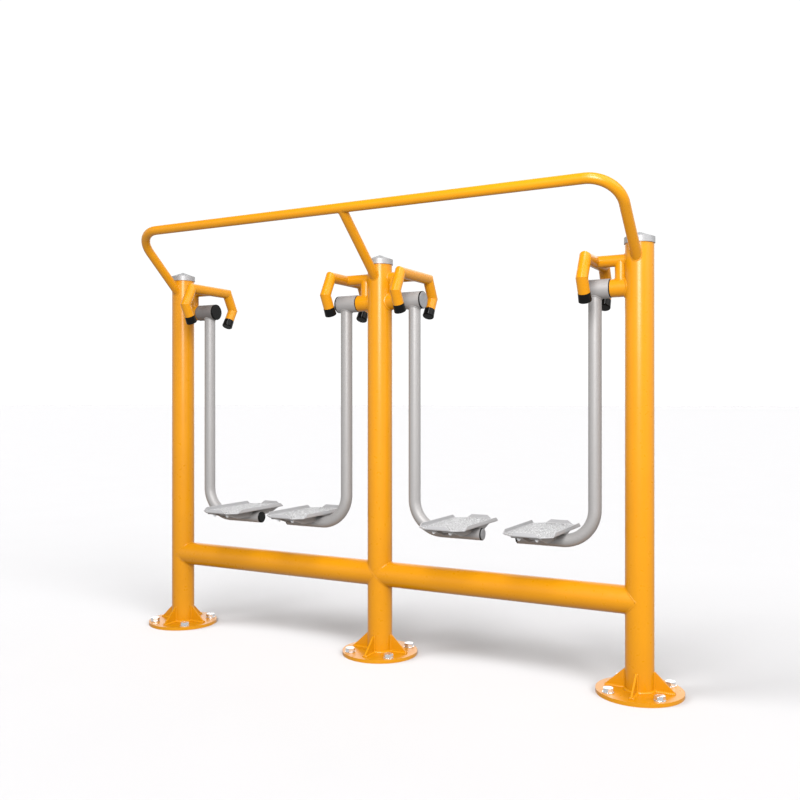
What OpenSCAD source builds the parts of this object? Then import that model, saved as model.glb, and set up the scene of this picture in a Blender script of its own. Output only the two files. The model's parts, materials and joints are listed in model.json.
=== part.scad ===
// Outdoor air walker with two standing places.
// Three posts in a row along X carry four swing arms, each on its own ball-bearing pivot.
// The hand rail lies on the -Y side, where the user faces the posts.
// Origin: centre of the middle base plate's underside. Millimetres, +Z up.

/* [Posts and beams] */
// Outer diameter of a post
post_d = 88.9; // [76:0.1:102]
// Wall of a post
post_wall = 4; // [3:0.1:6]
// Height of a post's top above the pivot axes
post_rise = 148; // [130:1:220]
// Outer diameter of a lower beam
beam_d = 88.9; // [60:0.1:102]
// Wall of a lower beam
beam_wall = 4; // [3:0.1:6]
// Height of the lower beams' axis
beam_height = 286.5; // [200:0.5:330]

/* [Base plates] */
// Diameter of a round base plate
base_d = 270; // [240:1:340]
// Thickness of a base plate
base_t = 12; // [8:0.5:16]
// Distance of an anchor hole's centre from the base plate's edge
anchor_inset = 25; // [21:0.5:32]
// Diameter of an anchor hole
anchor_hole_d = 21; // [20.6:0.1:24]
// Thickness of a stiffening gusset
gusset_t = 6; // [4:0.5:10]
// Height of a gusset along the post
gusset_h = 60; // [40:1:90]
// Length of a gusset along the base plate
gusset_len = 64; // [40:1:85]
// Height of a gusset's outer nose
gusset_nose = 3; // [1:0.5:10]

/* [Anchor fasteners] */
// Thread diameter of an anchor nut
anchor_thread_d = 20; // [16:0.5:20]
// Size of an anchor nut across its flats
anchor_nut_af = 30; // [27:0.5:32]
// Height of an anchor nut
anchor_nut_h = 12.5; // [8:0.5:18]
// Outer diameter of an anchor washer
anchor_washer_d = 37; // [35:0.5:40]
// Thickness of an anchor washer
anchor_washer_t = 3; // [2:0.5:4]

/* [Post caps] */
// Wall of the cap's rim round the post
cap_wall = 2.8; // [2:0.1:6]
// Height of the cap's upright rim
cap_rim_h = 19; // [17:0.5:30]
// Height of the low cone on the cap
cap_cone_h = 18; // [8:0.5:40]
// Depth to which the cap covers the post
cap_cover = 14; // [10:0.5:15]
// Thickness of the cap's conical roof
cap_roof_t = 4; // [2:0.5:4.5]

/* [Handrail] */
// Outer diameter of the handrail tube
rail_d = 33.7; // [26:0.1:42]
// Wall of the handrail tube
rail_wall = 2.8; // [2:0.1:4]
// Height of the grip bar's axis above the feet of its legs
rail_rise = 233; // [180:1:300]
// Distance of the grip bar's axis in front of the posts' plane
rail_reach = 262; // [220:1:320]
// Height above the pivot axes at which a leg's axis meets the post's axis
rail_foot_rise = 58; // [40:1:66]
// Bend radius of the handrail, on the tube's axis
rail_bend_r = 100; // [60:1:130]

/* [Pivots] */
// Height of the four pivot axes
pivot_height = 1264; // [1150:1:1400]
// Outer diameter of a pivot stub
stub_d = 58; // [54:0.5:60]
// Wall of a pivot stub
stub_wall = 5; // [3:0.1:7]
// Distance of the stub's end face from the post's axis
stub_reach = 88; // [84:0.5:96]
// Thickness of the disc that closes the stub and holds the axle
stub_disc_t = 14; // [8:0.5:20]
// Thickness of the seal between stub and hub
seal_t = 3; // [2:0.1:5]
// Wall of a hub outside its bearings
hub_wall = 5; // [4:0.1:8]
// Room between the axle's end and the hub's plug
hub_room = 1.3; // [1:0.1:8]
// Diameter of the axle's journal and the bearings' bore
axle_d = 25; // [22:0.5:28]
// Diameter of the axle's collar
axle_collar_d = 32; // [30:0.5:33]
// Length of the axle's collar
axle_collar_len = 6; // [4:0.5:8]
// Thread diameter at the axle's end
axle_thread_d = 20; // [16:0.5:20]
// Outer diameter of a bearing
bearing_d = 52; // [50:0.5:54]
// Width of a bearing
bearing_w = 15; // [12:0.5:16]
// Diameter of a bearing ball
ball_d = 8; // [7:0.1:8.5]
// Number of balls in a bearing
ball_count = 9; // [6:1:9]
// Length of the sleeve between the two bearings
spacer_len = 32; // [28:0.5:34]
// Outer diameter of the sleeve between the two bearings
spacer_d = 31; // [29:0.5:32]
// Size of the axle nut across its flats
axle_nut_af = 30; // [27:0.5:32]
// Height of the axle nut
axle_nut_h = 9; // [6:0.5:10]
// Length of thread that stands out past the axle nut and behind the stub's disc
axle_tip = 1; // [0.5:0.5:4]
// Thickness of the washer under the axle nut
axle_washer_t = 3; // [2:0.5:4]
// Outer diameter of the washer under the axle nut
axle_washer_d = 34; // [33:0.5:37]

/* [Swing arms] */
// Distance of the swing tube's outer side from the hub's end
arm_inset = 8.1; // [2:0.1:14]
// Outer diameter of the swing tube
tube_d = 42.4; // [38:0.1:48]
// Wall of the swing tube
tube_wall = 3.5; // [2.5:0.1:5]
// Height of the axis of the swing tube's level run
run_height = 456; // [400:1:600]
// Bend radius of the swing tube, on its axis
tube_bend_r = 106; // [80:1:115]
// Distance by which the swing tube ends short of the foot plate's edge
tube_short = 3; // [0:0.5:20]
// Gap between the ends of two swing arms that face each other
arms_gap = 121; // [60:1:300]

/* [End plugs] */
// Thickness of the black collar between a tube and its cover
plug_collar_t = 4.5; // [3:0.1:6]
// Step from the collar's edge in to the cover's edge
cover_step = 1.8; // [1:0.1:3]
// Depth of a plug's spigot in the tube
plug_depth = 5; // [3:0.5:8]
// Wall of a plug's spigot
plug_wall = 3; // [2:0.1:4]
// Thickness of a round end cover
cover_t = 2.5; // [2:0.5:6]
// Bevel of a round end cover
cover_bevel = 0.8; // [0.2:0.1:1.5]

/* [Foot plates] */
// Width of a foot plate, along X
plate_w = 170; // [160:1:200]
// Length of a foot plate, along Y
plate_l = 350; // [330:1:380]
// Thickness of the foot plate's sheet
plate_t = 3; // [2:0.1:4]
// Distance of the first plate bar from the end of the swing tube's bend
plate_lead = 18; // [0:1:60]
// Height of the upturned edges above the plate's underside
flange_h = 15; // [10:0.5:25]
// Outer bend radius of the upturned edges
flange_bend_r = 5; // [4:0.5:8]
// Distance of a long side's upturned edge from the plate's corners
side_flange_inset = 33.5; // [20:0.5:60]
// Distance of a short side's upturned edge from the plate's corners
end_flange_inset = 38; // [20:0.5:50]
// Slant of an upturned edge's two ends
flange_slant = 17; // [8:0.5:24]

/* [Plate bars] */
// Width of a bar's level leg
bar_w = 40; // [34:1:46]
// Distance of a bar's end from the foot plate's end
bar_inset = 16; // [8:0.5:30]
// Thickness of a bar's level leg
bar_t = 6; // [4:0.5:8]
// Thickness of a bar's upright leg
bar_web_t = 5; // [3:0.5:6]
// Depth of a bar's upright leg below its level leg
bar_web_h = 19; // [10:0.5:24]
// Length of the slope at each end of the upright leg
bar_taper = 58; // [30:1:80]
// Distance between the two rows of plate bolts, along X
bolt_pitch_x = 60; // [52:1:70]
// Distance of a plate bolt from its bar's end
bolt_inset = 20; // [12:0.5:40]
// Thread diameter of a plate bolt
bolt_d = 8; // [6:0.5:10]
// Head diameter of a plate bolt
bolt_head_d = 14; // [13:0.5:18]
// Head height of a plate bolt
bolt_head_h = 4.4; // [3:0.1:6]
// Size of a plate bolt's hexagon socket
bolt_socket = 5; // [4:0.5:6]
// Size of a plate nut across its flats
bolt_nut_af = 13; // [12:0.5:17]
// Height of a plate nut
bolt_nut_h = 6.8; // [5:0.1:9]
// Length of thread that stands out below a plate nut
bolt_tip = 3; // [1:0.5:5]

/* [Stops] */
// Height of the axis of a stop yoke's arm and cross bar above the pivot axis
stop_rise = 86; // [74:1:98]
// Outer diameter of the stop tube
stop_d = 38; // [32:0.5:42]
// Wall of the stop tube
stop_wall = 3; // [2:0.1:5]
// Half the length of the cross bar, between its mitres
stop_half = 107; // [95:1:120]
// Angle of the yoke's legs from the upright
stop_splay = 28; // [20:0.5:34]
// Length of a leg's upper run, from mitre to mitre
stop_upper = 76; // [60:1:90]
// Length of a leg's lower run, from mitre to tube end
stop_lower = 48; // [40:1:60]
// Diameter of the short link between arm and stub
link_d = 38; // [26:0.5:42]
// Distance of the link's outer side from the stub's end face
link_inset = 11; // [2:0.5:16]
// Diameter of a rubber buffer at its tip
buffer_d = 42; // [40:0.5:46]
// Diameter of a rubber buffer where it meets the tube
buffer_neck_d = 39.5; // [38:0.5:46]
// Length of a rubber buffer beyond the tube
buffer_len = 30; // [20:0.5:32]
// Length of a buffer's spigot inside the tube
buffer_spigot = 16; // [8:0.5:24]
// Edge rounding of a rubber buffer
buffer_round = 4; // [1:0.5:8]

/* [Fits] */
// Gap at a welded saddle or a seat between curved faces
weld_gap = 0.25; // [0.1:0.05:0.5]
// Radial clearance of a machined fit
fit_gap = 0.05; // [0.02:0.01:0.1]
// Clearance of a pushed-in plug
push_gap = 0.1; // [0.05:0.05:0.3]
// Running gap between seal and hub
run_gap = 0.3; // [0.3:0.05:0.6]
// Extra diameter of a bolt's clearance hole
bolt_clear = 1; // [0.5:0.1:2]
// Clearance between a ball and its race
ball_gap = 0.1; // [0.05:0.01:0.2]

/* [Hidden] */
// Overrun of every cut
over = 2;
// Segments of round shapes
$fn = 64;

// Radii worked out from the diameters above
post_r = post_d / 2;
beam_r = beam_d / 2;
rail_r = rail_d / 2;
stub_r = stub_d / 2;
hub_r = bearing_d / 2 + hub_wall;
tube_r = tube_d / 2;
stop_r = stop_d / 2;
seat_r = post_r + weld_gap;

// Places along a pivot, from the post's axis outwards
hub_start = stub_reach + seal_t + run_gap;
bearing_1_at = stub_reach + axle_collar_len;
bearing_2_at = bearing_1_at + bearing_w + spacer_len;
axle_shoulder = bearing_2_at + bearing_w;
axle_washer_at = axle_shoulder;
axle_nut_at = axle_washer_at + axle_washer_t;
axle_end = axle_nut_at + axle_nut_h + axle_tip;
axle_start = stub_reach - stub_disc_t - axle_tip;
hub_end = axle_end + hub_room;

// Bearing races
ball_r = ball_d / 2;
ball_ring_r = (axle_d + bearing_d) / 4;
race_r = ball_r + ball_gap;
inner_ring_r = ball_ring_r - ball_r * 2 / 3;
outer_ring_r = ball_ring_r + ball_r * 2 / 3;
seal_lip_t = bearing_w / 12;

// Lengths and distances on a foot plate
side_flange_l = plate_l - 2 * side_flange_inset;
end_flange_l = plate_w - 2 * end_flange_inset;
bar_l = plate_l - 2 * bar_inset;
bolt_pitch_y = bar_l - 2 * bolt_inset;

// Places of a swing arm's parts, from the post's axis outwards
arm_offset = hub_end - arm_inset - tube_r;
plate_centre = arm_offset + tube_bend_r + plate_lead + (bar_w + bolt_pitch_x) / 2;
tube_reach = plate_centre + plate_w / 2 - tube_short;

// Posts and stations
post_spacing = 2 * (tube_reach + plug_collar_t + cover_t) + arms_gap;
post_places = [-post_spacing, 0, post_spacing];
stations = [1, 2, 3, 4];

// A station's post, and the way it faces along X
function station_x(k) = [-post_spacing, 0, 0, post_spacing][k - 1];
function faces_left(k) = k % 2 == 0;

// Circle of the anchor holes
anchor_ring_r = base_d / 2 - anchor_inset;

// Heights above the ground
post_top = pivot_height + post_rise;
rail_foot = pivot_height + rail_foot_rise;
rail_height = rail_foot + rail_rise;
stop_height = pivot_height + stop_rise;

// Distance of the link between yoke arm and stub from the post's axis
link_offset = stub_reach - link_inset - link_d / 2;

// Foot plate levels
bar_under = run_height + tube_r + weld_gap;
plate_under = bar_under + bar_t;
plate_top = plate_under + plate_t;

// Handrail slope
rail_leg = norm([rail_reach, rail_rise]);
rail_tilt = atan2(rail_rise, rail_reach);

// A stop yoke's axis line in the YZ plane, from one tube end to the other
knee_y = stop_half + stop_upper * sin(stop_splay);
knee_z = stop_height - stop_upper * cos(stop_splay);
toe_y = knee_y - stop_lower * sin(stop_splay);
toe_z = knee_z - stop_lower * cos(stop_splay);
yoke_line = [
  [-toe_y, toe_z], [-knee_y, knee_z], [-stop_half, stop_height],
  [stop_half, stop_height], [knee_y, knee_z], [toe_y, toe_z]
];

// A round bar along X, from one distance to another
module rod_x(r, from, to) {
  translate([from, 0, 0]) rotate([0, 90, 0]) cylinder(r = r, h = to - from);
}

// A tube along X
module pipe_x(r, wall, from, to) {
  difference() {
    rod_x(r, from, to);
    rod_x(r - wall, from - over, to + over);
  }
}

// A ring along X
module ring_x(r, hole_r, from, to) {
  difference() {
    rod_x(r, from, to);
    rod_x(hole_r, from - over, to + over);
  }
}

// Turns a drawing in the XY plane up into the YZ plane
module upright_yz() {
  rotate([90, 0, 90]) children();
}

// Turns a drawing in the XY plane up into the XZ plane
module upright_xz() {
  rotate([90, 0, 0]) children();
}

// A hexagonal prism by its size across flats
module hex_prism(af, h) {
  cylinder(d = af / cos(30), h = h, $fn = 6);
}

// A hexagon nut with bevelled corners and a plain bore, standing on the XY plane
module hex_nut(af, h, bore_r) {
  bevel = (af / cos(30) - af) / 2;
  difference() {
    intersection() {
      hex_prism(af, h);
      rotate_extrude() polygon([
        [0, 0], [af / 2, 0], [af / 2 + bevel, bevel / 2],
        [af / 2 + bevel, h - bevel / 2], [af / 2, h], [0, h]
      ]);
    }
    translate([0, 0, -over]) cylinder(r = bore_r, h = h + 2 * over);
  }
}

// Puts its children at a station, facing away from the post
module at_station(k) {
  translate([station_x(k), 0, 0])
    if (faces_left(k)) mirror([1, 0, 0]) children();
    else children();
}

// Puts its children on a station's pivot axis
module at_pivot(k) {
  at_station(k) translate([0, 0, pivot_height]) children();
}

// Puts its children at the centre of a station's foot plate, on the ground plane
module at_plate(k) {
  side = faces_left(k) ? -1 : 1;
  translate([station_x(k) + side * plate_centre, 0, 0]) children();
}

// The space that a post takes up, with its weld gap
module post_space() {
  cylinder(r = seat_r, h = rail_height);
}

// Frame

module post(place) {
  translate([place, 0, base_t]) difference() {
    cylinder(r = post_r, h = post_top - base_t);
    translate([0, 0, -over]) cylinder(r = post_r - post_wall, h = post_top + over);
  }
}

module left_post() { color("orange") post(-post_spacing); }
module middle_post() { color("orange") post(0); }
module right_post() { color("orange") post(post_spacing); }

module lower_beam(from) {
  translate([from, 0, beam_height]) difference() {
    pipe_x(beam_r, beam_wall, 0, post_spacing);
    for (end = [0, post_spacing])
      translate([end, 0, -beam_height]) post_space();
  }
}

module left_lower_beam() { color("orange") lower_beam(-post_spacing); }
module right_lower_beam() { color("orange") lower_beam(0); }

// Four places on the anchor circle, between the gussets
module anchor_places() {
  for (turn = [45 : 90 : 315])
    rotate([0, 0, turn]) translate([anchor_ring_r, 0, 0]) children();
}

module base_plate(place) {
  translate([place, 0, 0]) difference() {
    cylinder(d = base_d, h = base_t);
    anchor_places()
      translate([0, 0, -over]) cylinder(d = anchor_hole_d, h = base_t + 2 * over);
  }
}

module left_base_plate() { color("orange") base_plate(-post_spacing); }
module middle_base_plate() { color("orange") base_plate(0); }
module right_base_plate() { color("orange") base_plate(post_spacing); }

module gusset() {
  translate([seat_r, gusset_t / 2, base_t]) upright_xz()
    linear_extrude(gusset_t) polygon([
      [0, 0], [gusset_len, 0], [gusset_len, gusset_nose], [gusset_nose, gusset_h], [0, gusset_h]
    ]);
}

module base_gussets() {
  color("orange") for (place = post_places, turn = [0 : 90 : 270])
    translate([place, 0, 0]) rotate([0, 0, turn]) gusset();
}

module anchor_washers() {
  color("silver") for (place = post_places)
    translate([place, 0, base_t]) anchor_places() difference() {
      cylinder(d = anchor_washer_d, h = anchor_washer_t);
      translate([0, 0, -over]) cylinder(d = anchor_hole_d, h = anchor_washer_t + 2 * over);
    }
}

module anchor_nuts() {
  color("silver") for (place = post_places)
    translate([place, 0, base_t + anchor_washer_t]) anchor_places()
      hex_nut(anchor_nut_af, anchor_nut_h, anchor_thread_d / 2 + push_gap);
}

// The cap's section: upright rim, ledge on the post's top and hollow conical roof
module cap_section() {
  ledge_r = post_r - post_wall;
  cap_r = seat_r + cap_wall;
  roof_z = cap_rim_h + cap_cone_h;
  polygon([
    [seat_r, 0], [cap_r, 0], [cap_r, cap_rim_h],
    [0, roof_z], [0, roof_z - cap_roof_t], [ledge_r, cap_cover], [seat_r, cap_cover]
  ]);
}

module post_caps() {
  color("lightgray") for (place = post_places)
    translate([place, 0, post_top - cap_cover]) rotate_extrude() cap_section();
}

// The handrail's outline, flat in the XY plane, with its legs towards -Y
module rail_sweep(r, leg) {
  bend_x = post_spacing - rail_bend_r;
  rod_x(r, -bend_x, bend_x);
  for (side = [0, 1]) mirror([side, 0, 0]) {
    translate([bend_x, -rail_bend_r, 0])
      rotate_extrude(angle = 90) translate([rail_bend_r, 0]) circle(r = r);
    translate([post_spacing, -rail_bend_r, 0])
      rotate([90, 0, 0]) cylinder(r = r, h = leg - rail_bend_r);
  }
}

// Lays a flat drawing along the handrail's slope, with its legs towards the posts
module on_rail_slope() {
  translate([0, -rail_reach, rail_height]) rotate([180 - rail_tilt, 0, 0]) children();
}

module handrail() {
  color("orange") difference() {
    on_rail_slope() difference() {
      rail_sweep(rail_r, rail_leg);
      rail_sweep(rail_r - rail_wall, rail_leg + over);
    }
    for (side = [-1, 1]) translate([side * post_spacing, 0, 0]) post_space();
  }
}

module handrail_strut() {
  color("orange") difference() {
    on_rail_slope() rotate([90, 0, 0]) difference() {
      cylinder(r = rail_r, h = rail_leg);
      translate([0, 0, -over]) cylinder(r = rail_r - rail_wall, h = rail_leg + 2 * over);
    }
    post_space();
    translate([0, -rail_reach, rail_height]) rod_x(rail_r + weld_gap, -rail_d, rail_d);
  }
}

// Pivots

module pivot_stubs() {
  color("orange") for (k = stations) at_pivot(k) difference() {
    union() {
      pipe_x(stub_r, stub_wall, 0, stub_reach);
      rod_x(stub_r - stub_wall / 2, stub_reach - stub_disc_t, stub_reach);
    }
    translate([0, 0, -pivot_height]) post_space();
    rod_x(axle_d / 2 + fit_gap, 0, stub_reach + over);
  }
}

module axles() {
  color("gray") for (k = stations) at_pivot(k) {
    rod_x(axle_d / 2, axle_start, axle_shoulder);
    rod_x(axle_collar_d / 2, stub_reach, bearing_1_at);
    rod_x(axle_thread_d / 2, axle_shoulder, axle_end);
  }
}

module hub_seals() {
  color("dimgray") for (k = stations) at_pivot(k)
    ring_x(stub_r, axle_collar_d / 2 + push_gap, stub_reach, stub_reach + seal_t);
}

// Puts its children at both bearings of a station
module at_bearings() {
  for (at = [bearing_1_at, bearing_2_at])
    translate([at, 0, 0]) rotate([0, 90, 0]) children();
}

module bearing_inner_rings() {
  color("silver") for (k = stations) at_pivot(k) at_bearings()
    rotate_extrude() difference() {
      translate([axle_d / 2 + fit_gap, 0]) square([inner_ring_r - axle_d / 2 - fit_gap, bearing_w]);
      translate([ball_ring_r, bearing_w / 2]) circle(r = race_r);
    }
}

module bearing_spacers() {
  color("silver") for (k = stations) at_pivot(k)
    ring_x(spacer_d / 2, axle_d / 2 + fit_gap, bearing_1_at + bearing_w, bearing_2_at);
}

module axle_washers() {
  color("silver") for (k = stations) at_pivot(k)
    ring_x(axle_washer_d / 2, axle_thread_d / 2 + fit_gap, axle_washer_at, axle_nut_at);
}

module axle_nuts() {
  color("silver") for (k = stations) at_pivot(k)
    translate([axle_nut_at, 0, 0]) rotate([0, 90, 0])
      hex_nut(axle_nut_af, axle_nut_h, axle_thread_d / 2 + fit_gap);
}

// Stops

// The direction of a line of points in a plane, as a unit vector
function along(a, b) = (b - a) / norm(b - a);

// The mitre line at a point: square to the run at an end, halfway at a corner
function mitre_dir(line, i) =
  let (
    before = i > 0 ? along(line[i - 1], line[i]) : along(line[i], line[i + 1]),
    after = i < len(line) - 1 ? along(line[i], line[i + 1]) : before,
    mean = along([0, 0], before + after)
  ) [-mean[1], mean[0]];

// One straight tube of a welded line in the XY plane, cut along both mitre lines
module mitred_run(line, i, r, wall) {
  dir = along(line[i], line[i + 1]);
  a = line[i] + weld_gap / 2 * dir;
  b = line[i + 1] - weld_gap / 2 * dir;
  wide = 2 * r;
  intersection() {
    translate([a[0], a[1], 0]) rotate([0, 0, atan2(dir[1], dir[0])])
      pipe_x(r, wall, -wide, norm(b - a) + wide);
    translate([0, 0, -wide]) linear_extrude(2 * wide) polygon([
      a + wide * mitre_dir(line, i), b + wide * mitre_dir(line, i + 1),
      b - wide * mitre_dir(line, i + 1), a - wide * mitre_dir(line, i)
    ]);
  }
}

// Five mitred tubes in a row, and the arm that carries them on the post
module stop_yoke(k) {
  color("gold") at_station(k) {
    translate([arm_offset, 0, 0]) upright_yz()
      for (i = [0 : len(yoke_line) - 2]) mitred_run(yoke_line, i, stop_r, stop_wall);
    translate([0, 0, stop_height]) difference() {
      pipe_x(stop_r, stop_wall, 0, arm_offset);
      translate([0, 0, -stop_height]) post_space();
      translate([arm_offset, 0, 0]) rotate([90, 0, 0])
        cylinder(r = stop_r + weld_gap, h = 2 * stop_half, center = true);
    }
  }
}

module stop_yoke_1() { stop_yoke(1); }
module stop_yoke_2() { stop_yoke(2); }
module stop_yoke_3() { stop_yoke(3); }
module stop_yoke_4() { stop_yoke(4); }

// A short upright tube that ties each yoke's arm to the stub below it
module stop_links() {
  color("gold") for (k = stations) at_station(k) difference() {
    translate([link_offset, 0, pivot_height]) cylinder(d = link_d, h = stop_height - pivot_height);
    translate([link_offset, 0, pivot_height])
      cylinder(d = link_d - 2 * stop_wall, h = stop_height - pivot_height);
    post_space();
    translate([0, 0, stop_height]) rod_x(stop_r + weld_gap, 0, arm_offset);
    translate([0, 0, pivot_height]) rod_x(stub_r + weld_gap, 0, stub_reach + over);
  }
}

// A rubber buffer on the XY plane, with its spigot downwards and its rounded end upwards
module buffer() {
  tip_r = buffer_d / 2;
  rotate_extrude() {
    polygon([
      [0, 0], [buffer_neck_d / 2, 0], [tip_r, buffer_len - buffer_round],
      [tip_r - buffer_round, buffer_len], [0, buffer_len]
    ]);
    translate([tip_r - buffer_round, buffer_len - buffer_round]) intersection() {
      circle(r = buffer_round);
      square(buffer_round);
    }
    translate([0, -buffer_spigot]) square([stop_r - stop_wall - push_gap, buffer_spigot]);
  }
}

module stop_buffers() {
  color("dimgray") for (k = stations, side = [0, 1]) at_station(k)
    mirror([0, side, 0]) translate([arm_offset, toe_y, toe_z])
      rotate([180 - stop_splay, 0, 0]) buffer();
}

// Swing arms

module hub(k) {
  color("darkgray") at_pivot(k)
    ring_x(hub_r, bearing_d / 2 + fit_gap, hub_start, hub_end);
}

module hub_1() { hub(1); }
module hub_2() { hub(2); }
module hub_3() { hub(3); }
module hub_4() { hub(4); }

// Outer ring with its race and a seal lip on each side
module outer_ring_section() {
  difference() {
    translate([outer_ring_r, 0]) square([bearing_d / 2 - outer_ring_r, bearing_w]);
    translate([ball_ring_r, bearing_w / 2]) circle(r = race_r);
  }
  lip_r = inner_ring_r + run_gap;
  for (z = [seal_lip_t / 2, bearing_w - 3 * seal_lip_t / 2])
    translate([lip_r, z]) square([outer_ring_r + seal_lip_t - lip_r, seal_lip_t]);
}

module hub_bearings(k) {
  color("silver") at_pivot(k) at_bearings() {
    rotate_extrude() outer_ring_section();
    for (i = [0 : ball_count - 1]) rotate([0, 0, i * 360 / ball_count])
      translate([ball_ring_r, 0, bearing_w / 2]) sphere(r = ball_r);
  }
}

module hub_bearings_1() { hub_bearings(1); }
module hub_bearings_2() { hub_bearings(2); }
module hub_bearings_3() { hub_bearings(3); }
module hub_bearings_4() { hub_bearings(4); }

// The swing tube's sweep: upright, bend and level run
module tube_sweep(r, top, reach) {
  bend_x = arm_offset + tube_bend_r;
  bend_z = run_height + tube_bend_r;
  translate([arm_offset, 0, bend_z]) cylinder(r = r, h = top - bend_z);
  translate([bend_x, 0, bend_z]) upright_xz()
    rotate([0, 0, 180]) rotate_extrude(angle = 90) translate([tube_bend_r, 0]) circle(r = r);
  translate([0, 0, run_height]) rod_x(r, bend_x, reach);
}

module swing_tube(k) {
  color("lightgray") at_station(k) difference() {
    tube_sweep(tube_r, pivot_height, tube_reach);
    tube_sweep(tube_r - tube_wall, pivot_height + over, tube_reach + over);
    translate([0, 0, pivot_height]) rod_x(hub_r + weld_gap, 0, hub_end + over);
  }
}

module swing_tube_1() { swing_tube(1); }
module swing_tube_2() { swing_tube(2); }
module swing_tube_3() { swing_tube(3); }
module swing_tube_4() { swing_tube(4); }

// A plug for a tube's end along X: hollow spigot inside, collar as wide as the tube outside
module end_plug(r, bore_r, at) {
  rod_x(r, at, at + plug_collar_t);
  pipe_x(bore_r - push_gap, plug_wall, at - plug_depth, at);
}

module end_plugs(k) {
  color("black") {
    at_pivot(k) end_plug(hub_r, bearing_d / 2, hub_end);
    at_station(k) translate([0, 0, run_height])
      end_plug(tube_r, tube_r - tube_wall, tube_reach);
  }
}

module end_plugs_1() { end_plugs(1); }
module end_plugs_2() { end_plugs(2); }
module end_plugs_3() { end_plugs(3); }
module end_plugs_4() { end_plugs(4); }

// A bevelled round cover on an end plug
module end_cover(r, at) {
  translate([at + plug_collar_t, 0, 0]) rotate([0, 90, 0]) rotate_extrude() polygon([
    [0, 0], [r, 0], [r, cover_t - cover_bevel], [r - cover_bevel, cover_t], [0, cover_t]
  ]);
}

module end_covers(k) {
  color("gray") {
    at_pivot(k) end_cover(hub_r - cover_step, hub_end);
    at_station(k) translate([0, 0, run_height])
      end_cover(tube_r - cover_step, tube_reach);
  }
}

module end_covers_1() { end_covers(1); }
module end_covers_2() { end_covers(2); }
module end_covers_3() { end_covers(3); }
module end_covers_4() { end_covers(4); }

// Foot plates

// The four bolt places of a plate
module bolt_places() {
  for (x = [-bolt_pitch_x / 2, bolt_pitch_x / 2], y = [-bolt_pitch_y / 2, bolt_pitch_y / 2])
    translate([x, y, 0]) children();
}

// An upturned edge along Y, with its outer face at x = 0 and its ends slanted
module flange(base_l) {
  intersection() {
    translate([0, base_l / 2, 0]) upright_xz() linear_extrude(base_l) flange_section();
    translate([-flange_bend_r, 0, 0]) upright_yz() linear_extrude(flange_bend_r) polygon([
      [-base_l / 2, 0], [base_l / 2, 0], [base_l / 2, plate_t],
      [base_l / 2 - flange_slant, flange_h],
      [flange_slant - base_l / 2, flange_h], [-base_l / 2, plate_t]
    ]);
  }
}

// The upturned edge's section: a quarter bend and an upright strip
module flange_section() {
  translate([-flange_bend_r, flange_bend_r]) intersection() {
    difference() {
      circle(r = flange_bend_r);
      circle(r = flange_bend_r - plate_t);
    }
    translate([0, -flange_bend_r]) square(flange_bend_r);
  }
  translate([-plate_t, flange_bend_r]) square([plate_t, flange_h - flange_bend_r]);
}

// The plate's flat floor, with its corners cut between the upturned edges
module plate_floor() {
  x = plate_w / 2 - flange_bend_r;
  y = plate_l / 2 - flange_bend_r;
  side = side_flange_l / 2;
  end = end_flange_l / 2;
  linear_extrude(plate_t) difference() {
    polygon([
      [x, -side], [x, side], [end, y], [-end, y], [-x, side], [-x, -side], [-end, -y], [end, -y]
    ]);
    bolt_places() circle(d = bolt_d + bolt_clear);
  }
}

module foot_plate(k) {
  color("gainsboro") at_plate(k) translate([0, 0, plate_under]) {
    plate_floor();
    for (turn = [0, 180]) rotate([0, 0, turn]) {
      translate([plate_w / 2, 0, 0]) flange(side_flange_l);
      translate([0, plate_l / 2, 0]) rotate([0, 0, 90]) flange(end_flange_l);
    }
  }
}

module foot_plate_1() { foot_plate(1); }
module foot_plate_2() { foot_plate(2); }
module foot_plate_3() { foot_plate(3); }
module foot_plate_4() { foot_plate(4); }

// The bar's upright leg, sloped at both ends
module bar_web() {
  half = bar_l / 2;
  upright_yz() linear_extrude(bar_web_t) polygon([
    [-half, bar_t], [half, bar_t], [half, 0], [half - bar_taper, -bar_web_h],
    [bar_taper - half, -bar_web_h], [-half, 0]
  ]);
}

module plate_bar() {
  difference() {
    union() {
      translate([-bar_w / 2, -bar_l / 2, 0]) cube([bar_w, bar_l, bar_t]);
      translate([bar_w / 2 - bar_web_t, 0, 0]) bar_web();
    }
    for (y = [-bolt_pitch_y / 2, bolt_pitch_y / 2])
      translate([0, y, -over]) cylinder(d = bolt_d + bolt_clear, h = bar_t + 2 * over);
    translate([0, 0, run_height - bar_under]) rod_x(tube_r + weld_gap, -bar_w, bar_w);
  }
}

module plate_bars(k) {
  color("darkgray") at_plate(k) for (x = [-bolt_pitch_x / 2, bolt_pitch_x / 2])
    translate([x, 0, bar_under]) plate_bar();
}

module plate_bars_1() { plate_bars(1); }
module plate_bars_2() { plate_bars(2); }
module plate_bars_3() { plate_bars(3); }
module plate_bars_4() { plate_bars(4); }

// A button-head bolt through plate and bar, with its nut under the bar
module plate_bolt() {
  grip = plate_t + bar_t;
  head_dome = bolt_head_h / 3;
  difference() {
    rotate_extrude() polygon([
      [0, -grip - bolt_nut_h - bolt_tip], [bolt_d / 2, -grip - bolt_nut_h - bolt_tip],
      [bolt_d / 2, 0], [bolt_head_d / 2, 0], [bolt_head_d / 2, head_dome],
      [bolt_head_d / 3, bolt_head_h], [0, bolt_head_h]
    ]);
    translate([0, 0, bolt_head_h / 2]) hex_prism(bolt_socket, bolt_head_h);
  }
  translate([0, 0, -grip - bolt_nut_h]) hex_nut(bolt_nut_af, bolt_nut_h, bolt_d / 2 + fit_gap);
}

module plate_bolts(k) {
  color("silver") at_plate(k) bolt_places() translate([0, 0, plate_top]) plate_bolt();
}

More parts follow.
